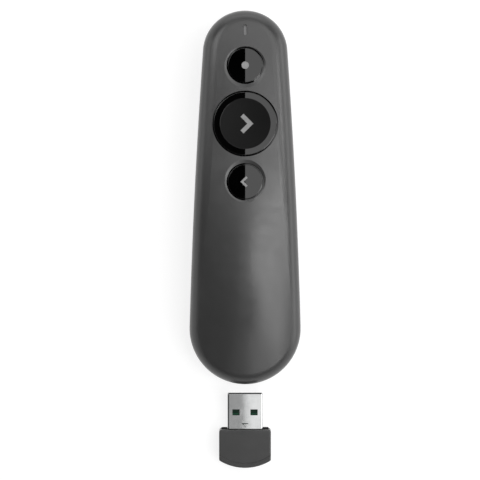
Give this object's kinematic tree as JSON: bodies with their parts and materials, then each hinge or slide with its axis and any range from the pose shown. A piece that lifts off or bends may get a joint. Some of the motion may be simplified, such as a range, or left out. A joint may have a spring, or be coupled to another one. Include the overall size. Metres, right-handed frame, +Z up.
{
  "type": "presentation remote",
  "caption": "Handheld wireless presentation clicker with a pointer key, a large dished forward key and a back key, with a plug-in radio receiver that stores in its tail.",
  "frame": {"origin": "on the flat underside, under the middle of the casing's length and width, at table height", "axes": "+Y along the casing towards the head that the pointer shines from, +Z up through the keys, +X to the right as seen from above with the head up"},
  "size_m": [0.037, 0.1523, 0.0248],
  "materials": {
    "casing_top": "satin moulded ABS, charcoal",
    "casing_bottom": "matt moulded ABS, charcoal",
    "key_gloss": "polished moulded ABS, black",
    "key_satin": "satin moulded ABS, black",
    "icon_grey": "satin second-shot ABS, grey",
    "light_pipe": "frosted polycarbonate",
    "switch_body": "glass-filled nylon",
    "board": "solder mask over glass epoxy",
    "chip_body": "epoxy moulding compound",
    "steel": "plain steel",
    "cell_can": "nickel-plated can",
    "nickel": "nickel-plated spring steel",
    "brass_turned": "turned brass",
    "clear_lens": "polished acrylic",
    "window_red": "dark red acrylic",
    "cell_sleeve": "shrunk PVC film",
    "copper_gold": "gold flash over copper",
    "led_epoxy": "clear epoxy",
    "ceramic_part": "sintered ceramic"
  },
  "bodies": {
    "casing": {"top_shell": "casing_top", "bottom_shell": "casing_bottom", "pointer_switch": "switch_body", "next_switch": "switch_body", "back_switch": "switch_body", "indicator_light_pipe": "light_pipe", "indicator_led": "led_epoxy", "circuit_board": "board", "radio_chip": "chip_body", "crystal": "steel", "laser_driver": "chip_body", "board_capacitors": "ceramic_part", "battery": "cell_can", "battery_sleeve": "cell_sleeve", "positive_contact": "nickel", "negative_contact": "nickel", "battery_spring": "nickel", "shell_screws": "steel", "laser_barrel": "brass_turned", "laser_lens": "clear_lens", "laser_diode": "copper_gold", "laser_leads": "copper_gold", "laser_window": "window_red"},
    "pointer_key": {"pointer_button": "key_gloss", "pointer_icon": "icon_grey", "pointer_switch_plunger": "switch_body"},
    "next_key": {"next_button": "key_gloss", "next_icon": "icon_grey", "next_switch_plunger": "switch_body"},
    "back_key": {"back_button": "key_gloss", "back_icon": "icon_grey", "back_switch_plunger": "switch_body"},
    "door": {"battery_door": "casing_bottom"},
    "receiver": {"receiver_housing": "casing_top", "receiver_insert": "key_satin", "receiver_shield": "steel", "receiver_board": "board", "receiver_contacts": "copper_gold", "receiver_chip": "chip_body", "receiver_crystal": "steel"}
  },
  "joints": [
    {"name": "pointer_press", "type": "slide", "parent": "casing", "child": "pointer_key", "axis": [0, 0, -1], "range_m": [0, 0.0004], "stiffness_N_per_m": 900},
    {"name": "next_press", "type": "slide", "parent": "casing", "child": "next_key", "axis": [0, 0, -1], "range_m": [0, 0.0004], "stiffness_N_per_m": 900},
    {"name": "back_press", "type": "slide", "parent": "casing", "child": "back_key", "axis": [0, 0, -1], "range_m": [0, 0.0004], "stiffness_N_per_m": 900},
    {"name": "battery_door_hinge", "type": "hinge", "parent": "casing", "child": "door", "pos_m": [0, 0.0276, 0], "axis": [1, 0, 0], "range_deg": [0, 50]},
    {"name": "receiver_dock_slide", "type": "slide", "parent": "casing", "child": "receiver", "axis": [0, 1, 0], "range_m": [0, 0.0298]}
  ]
}
